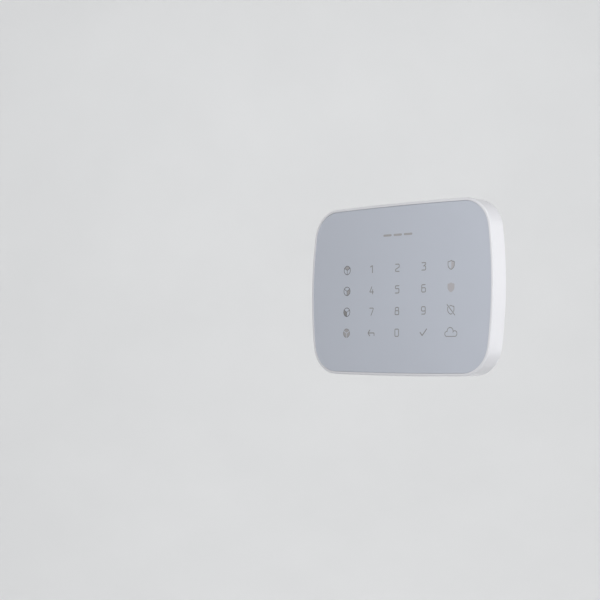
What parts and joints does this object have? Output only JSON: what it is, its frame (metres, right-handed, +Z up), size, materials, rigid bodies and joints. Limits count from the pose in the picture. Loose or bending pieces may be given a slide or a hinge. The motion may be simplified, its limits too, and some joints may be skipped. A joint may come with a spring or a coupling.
{
  "type": "alarm keypad panel",
  "caption": "Slim wall-mounted touch keypad for an alarm: rounded white shell, pale touch face with printed symbols, rear cover and hook-on wall bracket.",
  "frame": {"origin": "on the wall, behind the middle of the keypad's face", "axes": "+Y into the wall, -Y the way the face looks, +Z up, +X to the right as the user sees the face"},
  "size_m": [0.141, 0.0118, 0.1006],
  "materials": {
    "white_plastic": "satin white ABS with a very fine mould texture",
    "panel_plastic": "satin pale blue-grey, the symbols printed on it",
    "symbol_ink": "grey screen-printed ink",
    "cover_plastic": "light grey-white ABS, spark-eroded texture",
    "bracket_plastic": "white ABS, spark-eroded texture",
    "tape": "double-sided tape",
    "film": "translucent white film",
    "guide_plastic": "opaque white reflector plastic",
    "board": "green solder mask",
    "led": "clear epoxy over a yellow phosphor",
    "chip": "moulded epoxy",
    "metal_can": "tinned steel",
    "terminal_plastic": "green polyamide",
    "screw_steel": "zinc-plated steel",
    "spring_steel": "bright spring wire",
    "button_plastic": "grey plastic"
  },
  "bodies": {
    "bracket": {"wall_bracket": "bracket_plastic"},
    "keypad": {"front_housing": "white_plastic", "front_panel": "panel_plastic", "panel_tape": "tape", "diffuser_film": "film", "light_guide": "guide_plastic", "circuit_board": "board", "key_leds": "led", "status_leds": "led", "microcontroller": "chip", "touch_controller": "chip", "crystal": "metal_can", "bus_transceiver": "chip", "voltage_regulator": "chip", "inductor": "chip", "sounder": "chip", "capacitors": "chip", "terminal_block": "terminal_plastic", "terminal_screws": "screw_steel", "board_screws": "screw_steel", "rear_cover": "cover_plastic", "housing_screws": "screw_steel", "tamper_spring": "spring_steel", "tamper_switch": "chip", "reset_switch": "chip"},
    "plunger": {"tamper_plunger": "button_plastic"},
    "button": {"reset_button": "button_plastic"}
  },
  "joints": [
    {"name": "lift_off_hooks", "type": "slide", "parent": "bracket", "child": "keypad", "axis": [0, 0, 1], "range_m": [0, 0.004]},
    {"name": "tamper_press", "type": "slide", "parent": "keypad", "child": "plunger", "axis": [0, 1, 0], "range_m": [-0.0008, 0], "stiffness_N_per_m": 150, "springref_m": 0.002, "deforming": ["tamper_spring"]},
    {"name": "reset_press", "type": "slide", "parent": "keypad", "child": "button", "axis": [0, 1, 0], "range_m": [-0.0005, 0], "stiffness_N_per_m": 600, "springref_m": 0.0005}
  ]
}
